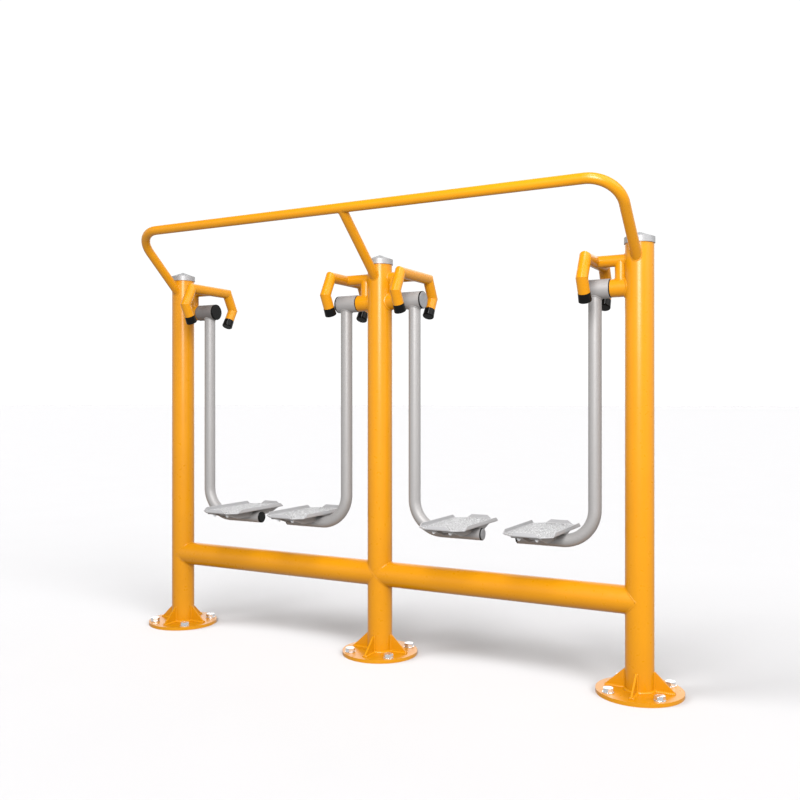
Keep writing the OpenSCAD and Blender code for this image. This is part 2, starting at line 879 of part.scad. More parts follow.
module plate_bolts_1() { plate_bolts(1); }
module plate_bolts_2() { plate_bolts(2); }
module plate_bolts_3() { plate_bolts(3); }
module plate_bolts_4() { plate_bolts(4); }

left_post();
middle_post();
right_post();
left_lower_beam();
right_lower_beam();
left_base_plate();
middle_base_plate();
right_base_plate();
base_gussets();
anchor_washers();
anchor_nuts();
post_caps();
handrail();
handrail_strut();
pivot_stubs();
axles();
hub_seals();
bearing_inner_rings();
bearing_spacers();
axle_washers();
axle_nuts();
stop_yoke_1();
stop_yoke_2();
stop_yoke_3();
stop_yoke_4();
stop_links();
stop_buffers();
hub_1();
hub_2();
hub_3();
hub_4();
hub_bearings_1();
hub_bearings_2();
hub_bearings_3();
hub_bearings_4();
swing_tube_1();
swing_tube_2();
swing_tube_3();
swing_tube_4();
end_plugs_1();
end_plugs_2();
end_plugs_3();
end_plugs_4();
end_covers_1();
end_covers_2();
end_covers_3();
end_covers_4();
plate_bars_1();
plate_bars_2();
plate_bars_3();
plate_bars_4();
foot_plate_1();
foot_plate_2();
foot_plate_3();
foot_plate_4();
plate_bolts_1();
plate_bolts_2();
plate_bolts_3();
plate_bolts_4();
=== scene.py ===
"""Dresses the outdoor air walker: paint, metal, rubber, weld seams, rod ends, grit and a white studio."""

import json
import math
import random

import bmesh
import bpy
from bpy.props import FloatProperty, FloatVectorProperty, IntProperty, PointerProperty
from mathutils import Matrix, Vector


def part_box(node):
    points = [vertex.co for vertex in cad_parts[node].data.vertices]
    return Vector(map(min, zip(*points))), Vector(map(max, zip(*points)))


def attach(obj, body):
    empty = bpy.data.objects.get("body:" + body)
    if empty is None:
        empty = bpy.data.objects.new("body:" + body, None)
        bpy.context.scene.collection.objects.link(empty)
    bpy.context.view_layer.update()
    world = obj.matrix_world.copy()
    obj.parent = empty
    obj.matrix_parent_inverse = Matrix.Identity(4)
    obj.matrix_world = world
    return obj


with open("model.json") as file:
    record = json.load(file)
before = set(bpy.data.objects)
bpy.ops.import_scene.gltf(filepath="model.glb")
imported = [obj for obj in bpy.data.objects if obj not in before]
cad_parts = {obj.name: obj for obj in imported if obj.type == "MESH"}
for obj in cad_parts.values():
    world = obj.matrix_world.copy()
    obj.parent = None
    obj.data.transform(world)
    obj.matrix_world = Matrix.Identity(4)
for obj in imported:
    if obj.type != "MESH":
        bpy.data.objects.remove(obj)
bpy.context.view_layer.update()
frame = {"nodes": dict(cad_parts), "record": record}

bl_info = {
    "name": "Outdoor Air Walker",
    "version": (1, 0, 0),
    "blender": (4, 5, 0),
    "location": "3D View > Sidebar > Air Walker",
    "description": "Finishes, weld seams and studio for an outdoor air walker with two standing places",
    "category": "Object",
}


# Places read from the frame, in metres

STATIONS = (1, 2, 3, 4)
X_AXIS, Y_AXIS, Z_AXIS = Vector((1, 0, 0)), Vector((0, 1, 0)), Vector((0, 0, 1))


def middle(node):
    """Centre of a node's box."""
    low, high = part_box(node)
    return (low + high) / 2


def half(node):
    """Half of the size of a node's box."""
    low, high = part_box(node)
    return (high - low) / 2


# Posts, base plates and beams. R is an outer radius, and Z is the height of an axis.
POSTS = [middle(name).x for name in ("left_post", "middle_post", "right_post")]
POST_R = half("middle_post").x
BASE_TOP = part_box("middle_base_plate")[1].z
BEAM_R = half("left_lower_beam").z
BEAM_Z = middle("left_lower_beam").z
GUSSET_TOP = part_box("base_gussets")[1].z
GUSSET_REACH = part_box("base_gussets")[1].x - POSTS[2]
NUT_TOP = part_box("anchor_nuts")[1].z
# Swing arms: ARM_X is a hanging tube's distance from its post, RUN_Z is where it runs level
PIVOT_Z = middle("pivot_stubs").z
STUB_R = half("pivot_stubs").z
HUB_R = half("hub_3").z
TUBE_R = half("swing_tube_3").y
ARM_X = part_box("swing_tube_3")[0].x + TUBE_R
RUN_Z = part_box("swing_tube_3")[0].z + TUBE_R
# Grip rail
RAIL_R = half("handrail_strut").x
RAIL_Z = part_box("handrail")[1].z - RAIL_R
RAIL_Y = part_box("handrail")[0].y + RAIL_R
# Stop yokes and their links
YOKE_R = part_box("stop_yoke_3")[1].x - ARM_X
YOKE_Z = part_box("stop_yoke_3")[1].z - YOKE_R
LINK_R = half("stop_links").y
# Foot plate of the third arm: its box and its middle
PLATE_LOW, PLATE_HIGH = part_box("foot_plate_3")
PLATE_X = (PLATE_LOW.x + PLATE_HIGH.x) / 2


# Sizes of the CAD model that no box gives, in metres

# Height at which the rail's legs and the strut meet the posts' axes
RAIL_FOOT_Z = 1.322
# Distance of a stop link from its post's axis
LINK_X = 0.058
GUSSET_T = 0.006
ANCHOR_RING_R = 0.110
# A rod's radius over its thread, a little under the nut's bore
ROD_R = 0.0099
# Half of a yoke's cross bar, and the length and slant of its upper legs
YOKE_HALF = 0.107
YOKE_UPPER = 0.076
YOKE_SPLAY = math.radians(28)
# Plate bars: half width, distance between the two, thickness and height of the web, thickness on top
BAR_HALF_W = 0.020
BAR_PITCH = 0.060
BAR_WEB_T = 0.005
BAR_WEB_H = 0.019
BAR_TOP_T = 0.006
BAR_UNDER = PLATE_LOW.z - BAR_TOP_T
# Foot plates: sheet, bend radius, and half the length of the upturned edges
PLATE_T = 0.003
FLANGE_R = 0.005
SIDE_FLANGE_HALF = 0.1415
END_FLANGE_HALF = 0.047
# Flat floor of a foot plate, inside its bends: half its width and half its length
PLATE_FLOOR_HALF_W = PLATE_HIGH.x - PLATE_X - FLANGE_R
PLATE_FLOOR_HALF_L = PLATE_HIGH.y - FLANGE_R
# A plate bolt's place from the plate's middle, and its head
BOLT_X = 0.030
BOLT_Y = 0.139
BOLT_HEAD_R = 0.007


def post_of(station):
    """X of the post that carries a station."""
    return POSTS[(0, 1, 1, 2)[station - 1]]


def side_of(station):
    """+1 where a station's arm points along +X, -1 where it points along -X."""
    return -1 if station % 2 == 0 else 1


# Properties


class WalkerSizes(bpy.types.PropertyGroup):
    """Sizes of the seams and small pieces, in metres."""

    foot_leg: FloatProperty(
        name="Foot weld leg", description="Leg of the welds round the posts' feet and along the gussets",
        default=0.0065, min=0.002, max=0.012, subtype="DISTANCE", unit="LENGTH", precision=4)
    tube_leg: FloatProperty(
        name="Tube weld leg", description="Leg of the welds where one tube meets another",
        default=0.0035, min=0.001, max=0.008, subtype="DISTANCE", unit="LENGTH", precision=4)
    seam_leg: FloatProperty(
        name="Mitre seam leg", description="Leg of the ground seams at the yokes' mitres",
        default=0.0012, min=0.0005, max=0.003, subtype="DISTANCE", unit="LENGTH", precision=4)
    ripple_pitch: FloatProperty(
        name="Ripple pitch", description="Distance between two ripples of a weld",
        default=0.006, min=0.002, max=0.02, subtype="DISTANCE", unit="LENGTH", precision=4)
    grain_count: IntProperty(
        name="Grains", description="Number of grit grains on one foot plate",
        default=3600, min=0, max=6000)
    grain_r: FloatProperty(
        name="Grain radius", description="Mean radius of a grit grain",
        default=0.0016, min=0.0005, max=0.003, subtype="DISTANCE", unit="LENGTH", precision=4)


def colour(name, description, value):
    """A colour property."""
    return FloatVectorProperty(
        name=name, description=description, default=value, size=3, min=0, max=1, subtype="COLOR")


class WalkerColours(bpy.types.PropertyGroup):
    """Linear colours of the finishes."""

    orange: colour("Orange coat", "Powder coat of the posts, beams, rail and yokes", (0.515, 0.207, 0.001))
    orange_deep: colour("Deep orange", "The coat where its film is thickest", (0.49, 0.192, 0.001))
    silver: colour("Silver coat", "Powder coat of the swing arms", (0.268, 0.259, 0.256))
    # Painted shade: the silver coat made darker on the first arm's hub, standing in for the dark reflection
    # that falls on it
    hub_painted_shade: colour("Dark hub coat", "Powder coat of the first arm's hub", (0.130, 0.119, 0.116))
    plate: colour("Plate coat", "Coat of the foot plates", (0.355, 0.352, 0.358))
    grit: colour("Grit", "Grains on the foot plates", (0.42, 0.42, 0.425))
    cap: colour("Cap metal", "Cast metal of the post caps", (0.29, 0.29, 0.295))
    zinc: colour("Zinc", "Plating of bolts, nuts and washers", (0.78, 0.79, 0.81))
    steel: colour("Steel", "Ground steel of axles and bearings", (0.62, 0.62, 0.63))
    grey_plastic: colour("Grey plastic", "Round end covers", (0.20, 0.20, 0.205))
    # On the first arm's covers this black stands in for the grey of the other covers: a painted dark
    # reflection. The plugs and seals are black plastic
    black_plastic: colour("Black plastic", "Plugs, seals and the first arm's covers", (0.005, 0.005, 0.005))
    rubber: colour("Rubber", "Stop buffers", (0.004, 0.004, 0.004))
    floor: colour("Floor", "Studio floor", (0.562, 0.558, 0.565))


class WalkerStudio(bpy.types.PropertyGroup):
    """Light and camera."""

    key_strength: FloatProperty(
        name="High light", description="Strength of the high soft light", default=1.25, min=0, max=20)
    key_softness: FloatProperty(
        name="High light's softness", description="Angle across the high soft light",
        default=math.radians(20), min=0, max=math.pi, subtype="ANGLE", unit="ROTATION")
    floor_strength: FloatProperty(
        name="Floor light", description="Strength of the middle light that is kept for the floor",
        default=2.30, min=0, max=20)
    floor_sides: FloatProperty(
        name="Floor side lights",
        description="Strength of the two outer lights that are kept for the floor",
        default=2.65, min=0, max=20)
    floor_softness: FloatProperty(
        name="Floor lights' softness", description="Angle across the lights that are kept for the floor",
        default=math.radians(34), min=0, max=math.pi, subtype="ANGLE", unit="ROTATION")
    side_strength: FloatProperty(
        name="Side light", description="Strength of the soft light from the right, kept off the floor",
        default=1.9, min=0, max=20)
    back_strength: FloatProperty(
        name="Back light", description="Strength of the soft light from behind, kept off the floor",
        default=0.8, min=0, max=20)
    fill_softness: FloatProperty(
        name="Side and back lights' softness", description="Angle across the side and back lights",
        default=math.radians(60), min=0, max=math.pi, subtype="ANGLE", unit="ROTATION")
    sky_strength: FloatProperty(
        name="Sky", description="Strength of the light from overhead", default=0.22, min=0, max=5)
    horizon_strength: FloatProperty(
        name="Horizon", description="Strength of the light from the horizon", default=0.95, min=0, max=5)
    under_strength: FloatProperty(
        name="Under", description="Strength of the light from under the horizon",
        default=0.58, min=0, max=5)
    panel_power: FloatProperty(
        name="Front panel", description="Power of the panel beside the camera",
        default=158, min=0, max=500, unit="POWER")
    camera_place: FloatVectorProperty(
        name="Camera", description="Place of the camera",
        default=(1.5789, -2.7766, 0.9096), size=3, subtype="TRANSLATION", unit="LENGTH")
    camera_turn: FloatProperty(
        name="Camera turn", description="Turn of the camera about the upright",
        default=math.radians(28.325), subtype="ANGLE", unit="ROTATION")
    camera_tilt: FloatProperty(
        name="Camera tilt", description="Tilt of the camera, where a right angle is level",
        default=math.radians(90.038), subtype="ANGLE", unit="ROTATION")
    camera_lens: FloatProperty(
        name="Lens", description="Focal length on a 36 mm sensor", default=39.82, min=10, max=200)


def sizes():
    """The scene's sizes."""
    return bpy.context.scene.walker_sizes


def colours():
    """The scene's colours."""
    return bpy.context.scene.walker_colours


# Materials


def add(tree, kind, inputs=None, **settings):
    """Adds a shader node. An input is a value, or the socket that feeds it."""
    node = tree.nodes.new("ShaderNode" + kind)
    for key, value in settings.items():
        setattr(node, key, value)
    for key, value in (inputs or {}).items():
        if isinstance(value, bpy.types.NodeSocket):
            tree.links.new(value, node.inputs[key])
        else:
            node.inputs[key].default_value = value
    return node


def blank(name, **inputs):
    """A new material with one Principled shader: the material, its tree and the shader."""
    material = bpy.data.materials.new(name + "_finish")
    material.use_nodes = True
    tree = material.node_tree
    tree.nodes.clear()
    shader = add(tree, "BsdfPrincipled", inputs)
    output = add(tree, "OutputMaterial")
    tree.links.new(shader.outputs["BSDF"], output.inputs["Surface"])
    return material, tree, shader


def place_in(tree):
    """The surface's place in its piece's own space, in metres."""
    return add(tree, "TexCoord").outputs["Object"]


def noise(tree, at, scale, detail=2.0, roughness=0.5, stretch=None):
    """Noise from 0 to 1, on a place that may be stretched first."""
    if stretch:
        at = add(tree, "Mapping", {"Vector": at, "Scale": stretch}).outputs["Vector"]
    inputs = {"Vector": at, "Scale": scale, "Detail": detail, "Roughness": roughness}
    return add(tree, "TexNoise", inputs).outputs["Fac"]


# Nearly all of a noise lies between these two values
NOISE_LOW = 0.3
NOISE_HIGH = 0.7


def between(tree, factor, low, high):
    """A number that runs from low to high over the noise's range."""
    inputs = {"Value": factor, "From Min": NOISE_LOW, "From Max": NOISE_HIGH, "To Min": low, "To Max": high}
    return add(tree, "MapRange", inputs).outputs["Result"]


def blend_colours(tree, factor, low, high):
    """A colour that runs from low to high over the noise's range."""
    ramp = add(tree, "ValToRGB", {"Fac": factor})
    first, last = ramp.color_ramp.elements
    first.position, first.color = NOISE_LOW, (*low, 1)
    last.position, last.color = NOISE_HIGH, (*high, 1)
    return ramp.outputs["Color"]


def relief(tree, height, distance, strength=1.0, under=None):
    """A bump of that depth in metres, on top of the normal that is given."""
    inputs = {"Height": height, "Distance": distance, "Strength": strength}
    if under:
        inputs["Normal"] = under
    return add(tree, "Bump", inputs).outputs["Normal"]


def soft_edge(tree, radius):
    """A normal that rounds sharp edges."""
    return add(tree, "Bevel", {"Radius": radius}, samples=4).outputs["Normal"]


def shade(tone, factor):
    """A colour made lighter or darker."""
    return tuple(min(1.0, part * factor) for part in tone)


def paint(tree, shader, factor, low, high):
    """A base colour that runs from low to high with the factor."""
    tree.links.new(blend_colours(tree, factor, low, high), shader.inputs["Base Color"])


def roughen(tree, shader, factor, low, high):
    """A roughness that runs from low to high with the factor."""
    tree.links.new(between(tree, factor, low, high), shader.inputs["Roughness"])


def emboss(tree, shader, normal):
    """Gives a shader its normal."""
    tree.links.new(normal, shader.inputs["Normal"])


def orange_powder_coat():
    """Smooth glossy powder coat with a faint orange peel."""
    material, tree, shader = blank("orange_powder_coat", **{
        "Coat Weight": 0.15, "Coat Roughness": 0.25, "Specular IOR Level": 0.25})
    at = place_in(tree)
    film = noise(tree, at, 5, 3)
    paint(tree, shader, film, colours().orange_deep, colours().orange)
    roughen(tree, shader, noise(tree, at, 60), 0.27, 0.33)
    peel = noise(tree, at, 260, 1, 0.4)
    emboss(tree, shader, relief(tree, peel, 0.00005, 0.5, soft_edge(tree, 0.0008)))
    return material


def silver_coat(name, tone):
    """Satin grey powder coat with fine metal flakes."""
    material, tree, shader = blank(name, **{
        "Metallic": 0.2, "Coat Weight": 0.0, "Specular IOR Level": 0.4})
    at = place_in(tree)
    flakes = add(tree, "TexVoronoi", {"Vector": at, "Scale": 1600}).outputs["Color"]
    flake = add(tree, "SeparateColor", {"Color": flakes}).outputs["Red"]
    paint(tree, shader, flake, shade(tone, 0.93), shade(tone, 1.07))
    roughen(tree, shader, noise(tree, at, 90), 0.44, 0.52)
    peel = noise(tree, at, 300, 1, 0.4)
    emboss(tree, shader, relief(tree, peel, 0.0001, 0.5, soft_edge(tree, 0.0006)))
    return material


def plate_coat():
    """Light grey coat of the foot plates: smooth edges, rough where the grit is bedded in it."""
    material, tree, shader = blank("plate_coat", **{
        "Metallic": 0.1, "Coat Weight": 0.0, "Specular IOR Level": 0.25})
    coords = add(tree, "TexCoord")
    at, normal = coords.outputs["Object"], coords.outputs["Normal"]
    up = add(tree, "SeparateXYZ", {"Vector": normal}).outputs["Z"]
    height = add(tree, "SeparateXYZ", {"Vector": at}).outputs["Z"]
    faces_up = add(tree, "Math", {0: up, 1: 0.95}, operation="GREATER_THAN").outputs["Value"]
    on_floor = add(tree, "Math", {0: height, 1: PLATE_LOW.z + 2 * PLATE_T}, operation="LESS_THAN")
    bed = add(tree, "Math", {0: faces_up, 1: on_floor.outputs["Value"]}, operation="MULTIPLY")
    bed = bed.outputs["Value"]
    grain = noise(tree, at, 420, 2, 0.6)
    coarse = noise(tree, at, 130, 3, 0.7)
    tone = colours().plate
    rough_tone = blend_colours(tree, coarse, shade(tone, 0.25), shade(tone, 1.0))
    mix = add(tree, "Mix", {"Factor": bed, 6: (*tone, 1), 7: rough_tone}, data_type="RGBA")
    tree.links.new(mix.outputs[2], shader.inputs["Base Color"])
    roughen(tree, shader, noise(tree, at, 90), 0.38, 0.46)
    bumps = add(tree, "Math", {0: grain, 1: bed}, operation="MULTIPLY").outputs["Value"]
    emboss(tree, shader, relief(tree, bumps, 0.0008, 0.8, soft_edge(tree, 0.0009)))
    return material


def grit_finish():
    """Grains bedded in the plate's coat."""
    material, tree, shader = blank("grit", **{"Specular IOR Level": 0.2})
    at = place_in(tree)
    tone = colours().grit
    paint(tree, shader, noise(tree, at, 140, 3, 0.7), shade(tone, 0.35), shade(tone, 1.5))
    roughen(tree, shader, noise(tree, at, 900), 0.30, 0.5)
    return material


def cap_metal():
    """Cast and blasted light metal."""
    material, tree, shader = blank("cap_metal", **{"Metallic": 0.35})
    at = place_in(tree)
    tone = colours().cap
    paint(tree, shader, noise(tree, at, 40), shade(tone, 0.95), shade(tone, 1.04))
    roughen(tree, shader, noise(tree, at, 500), 0.42, 0.50)
    cast = noise(tree, at, 900, 2, 0.6)
    emboss(tree, shader, relief(tree, cast, 0.00008, 0.6, soft_edge(tree, 0.001)))
    return material


def zinc_plated_steel():
    """Bright zinc with a faint cloud in it and turned faces."""
    material, tree, shader = blank("zinc_plated_steel", **{"Metallic": 0.88})
    at = place_in(tree)
    tone = colours().zinc
    paint(tree, shader, noise(tree, at, 180), shade(tone, 0.92), shade(tone, 1.06))
    roughen(tree, shader, noise(tree, at, 700), 0.12, 0.18)
    turned = noise(tree, at, 600, 2, 0.5, (1, 1, 4))
    emboss(tree, shader, relief(tree, turned, 0.00004, 0.5, soft_edge(tree, 0.0006)))
    return material


def plate_bolt_finish():
    """Zinc on the tails and nuts under a foot plate, and the plate's coat on the heads above it."""
    material, tree, shader = blank("plate_bolt", **{"Metallic": 0.3, "Specular IOR Level": 0.4})
    at = place_in(tree)
    height = add(tree, "SeparateXYZ", {"Vector": at}).outputs["Z"]
    above = add(tree, "Math", {0: height, 1: PLATE_LOW.z}, operation="GREATER_THAN").outputs["Value"]
    cloud = noise(tree, at, 180)
    zinc, coat = colours().zinc, colours().plate
    bare = blend_colours(tree, cloud, shade(zinc, 0.92), shade(zinc, 1.06))
    coated = blend_colours(tree, cloud, shade(coat, 0.8), shade(coat, 1.1))
    mix = add(tree, "Mix", {"Factor": above, 6: bare, 7: coated}, data_type="RGBA")
    tree.links.new(mix.outputs[2], shader.inputs["Base Color"])
    roughen(tree, shader, noise(tree, at, 700), 0.24, 0.36)
    emboss(tree, shader, soft_edge(tree, 0.0006))
    return material


def bright_steel():
    """Ground steel, with its grinding marks round the X axis."""
    material, tree, shader = blank("bright_steel", **{"Metallic": 1.0})
    at = place_in(tree)
    tone = colours().steel
    marks = noise(tree, at, 900, 2, 0.5, (1, 0.04, 0.04))
    paint(tree, shader, marks, shade(tone, 0.92), shade(tone, 1.06))
    roughen(tree, shader, marks, 0.18, 0.28)
    emboss(tree, shader, relief(tree, marks, 0.00003, 0.6))
    return material


def moulded(name, tone, low, high, grain, depth):
    """Moulded plastic or rubber: its roughness runs from low to high, and its grain has that scale
    and depth."""
    material, tree, shader = blank(name, **{"Specular IOR Level": 0.13})
    at = place_in(tree)
    paint(tree, shader, noise(tree, at, 120), shade(tone, 0.9), shade(tone, 1.12))
    roughen(tree, shader, noise(tree, at, 200), low, high)
    height = noise(tree, at, grain, 2, 0.5)
    emboss(tree, shader, relief(tree, height, depth, 0.6, soft_edge(tree, 0.0008)))
    return material


def studio_floor():
    """Matt white floor with a faint unevenness."""
    material, tree, shader = blank("studio_floor", **{"Specular IOR Level": 0.1})
    at = place_in(tree)
    tone = colours().floor
    paint(tree, shader, noise(tree, at, 2), shade(tone, 0.995), shade(tone, 1.005))
    roughen(tree, shader, noise(tree, at, 8), 0.85, 0.95)
    return material


MATERIALS = {
    "orange_powder_coat": orange_powder_coat,
    "silver_powder_coat": lambda: silver_coat("silver_powder_coat", colours().silver),
    # The first arm's hub gets a darker copy of the silver coat: painted shade for the dark reflection on it
    "hub_painted_shade_coat": lambda: silver_coat("hub_painted_shade_coat", colours().hub_painted_shade),
    "plate_coat": plate_coat,
    "grit": grit_finish,
    "cap_metal": cap_metal,
    "zinc_plated_steel": zinc_plated_steel,
    "plate_bolt": plate_bolt_finish,
    "bright_steel": bright_steel,
    "grey_plastic": lambda: moulded("grey_plastic", colours().grey_plastic, 0.34, 0.42, 800, 0.00004),
    "black_plastic": lambda: moulded("black_plastic", colours().black_plastic, 0.30, 0.40, 800, 0.00004),
    "black_rubber": lambda: moulded("black_rubber", colours().rubber, 0.14, 0.20, 350, 0.00003),
    "studio_floor": studio_floor,
}


def finish(name):
    """The material of that name, made when it is first asked for."""
    return bpy.data.materials.get(name + "_finish") or MATERIALS[name]()


# Meshes


def build(name, mesh, material, body, smooth=True):
    """Turns a bmesh into a piece that rides on a body."""
    bmesh.ops.recalc_face_normals(mesh, faces=mesh.faces)
    data = bpy.data.meshes.new(name)
    mesh.to_mesh(data)
    mesh.free()
    data.polygons.foreach_set("use_smooth", [smooth] * len(data.polygons))
    data.materials.append(finish(material))
    piece = bpy.data.objects.new(name, data)
    bpy.context.scene.collection.objects.link(piece)
    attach(piece, body)


def bridge(mesh, rings, closed_ring, closed_path):
    """Faces between neighbouring rings of points, with caps on an open path."""
    made = [[mesh.verts.new(point) for point in ring] for ring in rings]
    count = len(made[0])
    turns = count if closed_ring else count - 1
    steps = len(made) if closed_path else len(made) - 1
    for i in range(steps):
        a, b = made[i], made[(i + 1) % len(made)]
        for j in range(turns):
            k = (j + 1) % count
            mesh.faces.new((a[j], a[k], b[k], b[j]))
    if closed_ring and not closed_path:
        mesh.faces.new(made[0])
        mesh.faces.new(made[-1])


# Steps across a bead's face, distance between its sections, and depth of its toes in the steel
BEAD_STEPS = 6
BEAD_SPACING = 0.0016
BEAD_SINK = 0.0006
# Height of a bead's ripples and crown, as shares of its leg
BEAD_RIPPLE = 0.035
BEAD_CROWN = 0.12
# Fewest sections of a bead round a tube's end and along an arc
LEAST_ROUND = 48
LEAST_ARC = 12
# Points of a turned outline that are nearer than this are one point
MERGE_DISTANCE = 1e-7


def add_bead(mesh, frames, leg, closed):
    """A weld along a corner. Each frame is the corner's point, the two ways out of it along the
    surfaces, and the mean way off them. The bead is a little crowned and gently rippled."""
    pitch = sizes().ripple_pitch
    rings = []
    run = 0.0
    last = None
    for point, one, two, off in frames:
        run += (point - last).length if last else 0.0
        last = point
        size = leg * (1 + BEAD_RIPPLE * math.sin(2 * math.pi * run / pitch))
        crown = BEAD_CROWN * size + max(0.0, -(one + two).dot(off) * size / 2)
        ring = []
        for i in range(BEAD_STEPS + 1):
            t = i / BEAD_STEPS
            sink = BEAD_SINK * (1 if i in (0, BEAD_STEPS) else 0)
            chord = size * ((1 - t) * one + t * two)
            ring.append(point + chord + (4 * t * (1 - t) * crown - sink) * off)
        ring.append(point - 2 * BEAD_SINK * off)
        rings.append(ring)
    bridge(mesh, rings, True, closed)


def across(way, axis):
    """The part of a direction that is square to an axis."""
    return way - way.dot(axis) * axis


def saddle(centre, way, radius, main_point, main_way, main_radius):
    """Frames along the curve where a tube that starts near its centre and goes one way comes out of a
    main tube."""
    side = across(main_way, way)
    side = side.normalized() if side.length > 1e-6 else across(X_AXIS, way).normalized()
    other = way.cross(side)
    count = max(LEAST_ROUND, int(2 * math.pi * radius / BEAD_SPACING))
    points = []
    for i in range(count):
        turn = 2 * math.pi * i / count
        out = math.cos(turn) * side + math.sin(turn) * other
        start = across(centre + radius * out - main_point, main_way)
        slope = across(way, main_way)
        a, b, c = slope.dot(slope), start.dot(slope), start.dot(start) - main_radius ** 2
        reach = (-b + math.sqrt(max(0.0, b * b - a * c))) / a
        points.append((centre + radius * out + reach * way, out))
    frames = []
    for i, (point, out) in enumerate(points):
        along = (points[(i + 1) % count][0] - points[i - 1][0]).normalized()
        off_main = across(point - main_point, main_way).normalized()
        on_branch = out.cross(along)
        on_branch *= 1 if on_branch.dot(way) > 0 else -1
        on_main = off_main.cross(along)
        on_main *= 1 if on_main.dot(out) > 0 else -1
        frames.append((point, on_branch.normalized(), on_main.normalized(), (off_main + out).normalized()))
    return frames


def straight(start, end, one, two):
    """Frames along a straight corner."""
    count = max(2, int((end - start).length / BEAD_SPACING))
    off = (one + two).normalized()
    return [(start.lerp(end, i / count), one, two, off) for i in range(count + 1)]


def circle(centre, radius, first, second, one_of, two_of, turns=(0.0, 2 * math.pi)):
    """Frames along a circle or an arc. The two ways out are functions of the way from the centre."""
    length = abs(turns[1] - turns[0]) * radius
    count = max(LEAST_ARC, int(length / BEAD_SPACING))
    whole = abs(turns[1] - turns[0]) > 2 * math.pi - 0.001
    frames = []
    for i in range(count if whole else count + 1):
        turn = turns[0] + (turns[1] - turns[0]) * i / count
        out = math.cos(turn) * first + math.sin(turn) * second
        one, two = one_of(out), two_of(out)
        frames.append((centre + radius * out, one, two, (one + two).normalized()))
    return frames


def mitre(corner, before, after, radius):
    """Frames round the joint of two mitred tubes, from the ways along the two tubes."""
    normal = (before + after).normalized()
    side = before.cross(after).normalized()
    up = normal.cross(side)
    stretch = 1 / max(0.2, abs(up.dot(across(up, before).normalized())))
    count = int(2 * math.pi * radius / BEAD_SPACING)
    frames = []
    for i in range(count):
        turn = 2 * math.pi * i / count
        point = corner + radius * (math.cos(turn) * side + math.sin(turn) * stretch * up)
        out = across(point - corner, before).normalized() + across(point - corner, after).normalized()
        out = out.normalized()
        frames.append((point, -before, after, out))
    return frames


def lathe(mesh, matrix, outline, segments):
    """Turns an outline of (radius, height) points round the Z axis of a matrix."""
    rings = []
    for i in range(segments):
        turn = 2 * math.pi * i / segments
        ring = [matrix @ Vector((r * math.cos(turn), r * math.sin(turn), z)) for r, z in outline]
        rings.append(ring)
    bridge(mesh, rings, False, True)
    bmesh.ops.remove_doubles(mesh, verts=mesh.verts, dist=MERGE_DISTANCE)


# Operators


class WALKER_OT_finishes(bpy.types.Operator):
    """Give every piece of the frame and the arms its finish"""

    bl_idname = "walker.finishes"
    bl_label = "Finishes"

    def execute(self, context):
        own = {f"plate_bolts_{station}": "plate_bolt" for station in STATIONS}
        # The first hub takes the darker copy of the silver coat as painted shade
        own["hub_1"] = "hub_painted_shade_coat"
        for part in frame["record"]["subparts"]:
            name = part["node"]
            piece = frame["nodes"][name]
            piece.data.materials.clear()
            piece.data.materials.append(finish(own.get(name, part["material_slot"])))
        return {"FINISHED"}


class WALKER_OT_foot_welds(bpy.types.Operator):
    """Weld the posts and gussets to their base plates"""

    bl_idname = "walker.foot_welds"
    bl_label = "Foot welds"

    # Leg of the welds up the posts, as a share of the foot weld leg
    UP_POST = 0.6

    def execute(self, context):
        leg = sizes().foot_leg
        for label, place in zip(("left", "middle", "right"), POSTS):
            mesh = bmesh.new()
            foot = Vector((place, 0, BASE_TOP))
            frames = circle(foot, POST_R, X_AXIS, Y_AXIS, lambda out: Z_AXIS, lambda out: out)
            add_bead(mesh, frames, leg, True)
            for quarter in range(4):
                self.weld_gusset(mesh, foot, math.pi / 2 * quarter, leg)
            build(f"{label}_foot_welds", mesh, "orange_powder_coat", "frame")
        return {"FINISHED"}

    def weld_gusset(self, mesh, foot, turn, leg):
        """Beads on both sides of a gusset: along the base plate and up the post."""
        out = Vector((math.cos(turn), math.sin(turn), 0))
        for side in (Z_AXIS.cross(out), out.cross(Z_AXIS)):
            face = foot + GUSSET_T / 2 * side
            inner, outer = face + POST_R * out, face + GUSSET_REACH * out
            add_bead(mesh, straight(inner, outer, Z_AXIS, side), leg, False)
            top = inner + (GUSSET_TOP - BASE_TOP) * Z_AXIS
            add_bead(mesh, straight(inner, top, out, side), self.UP_POST * leg, False)


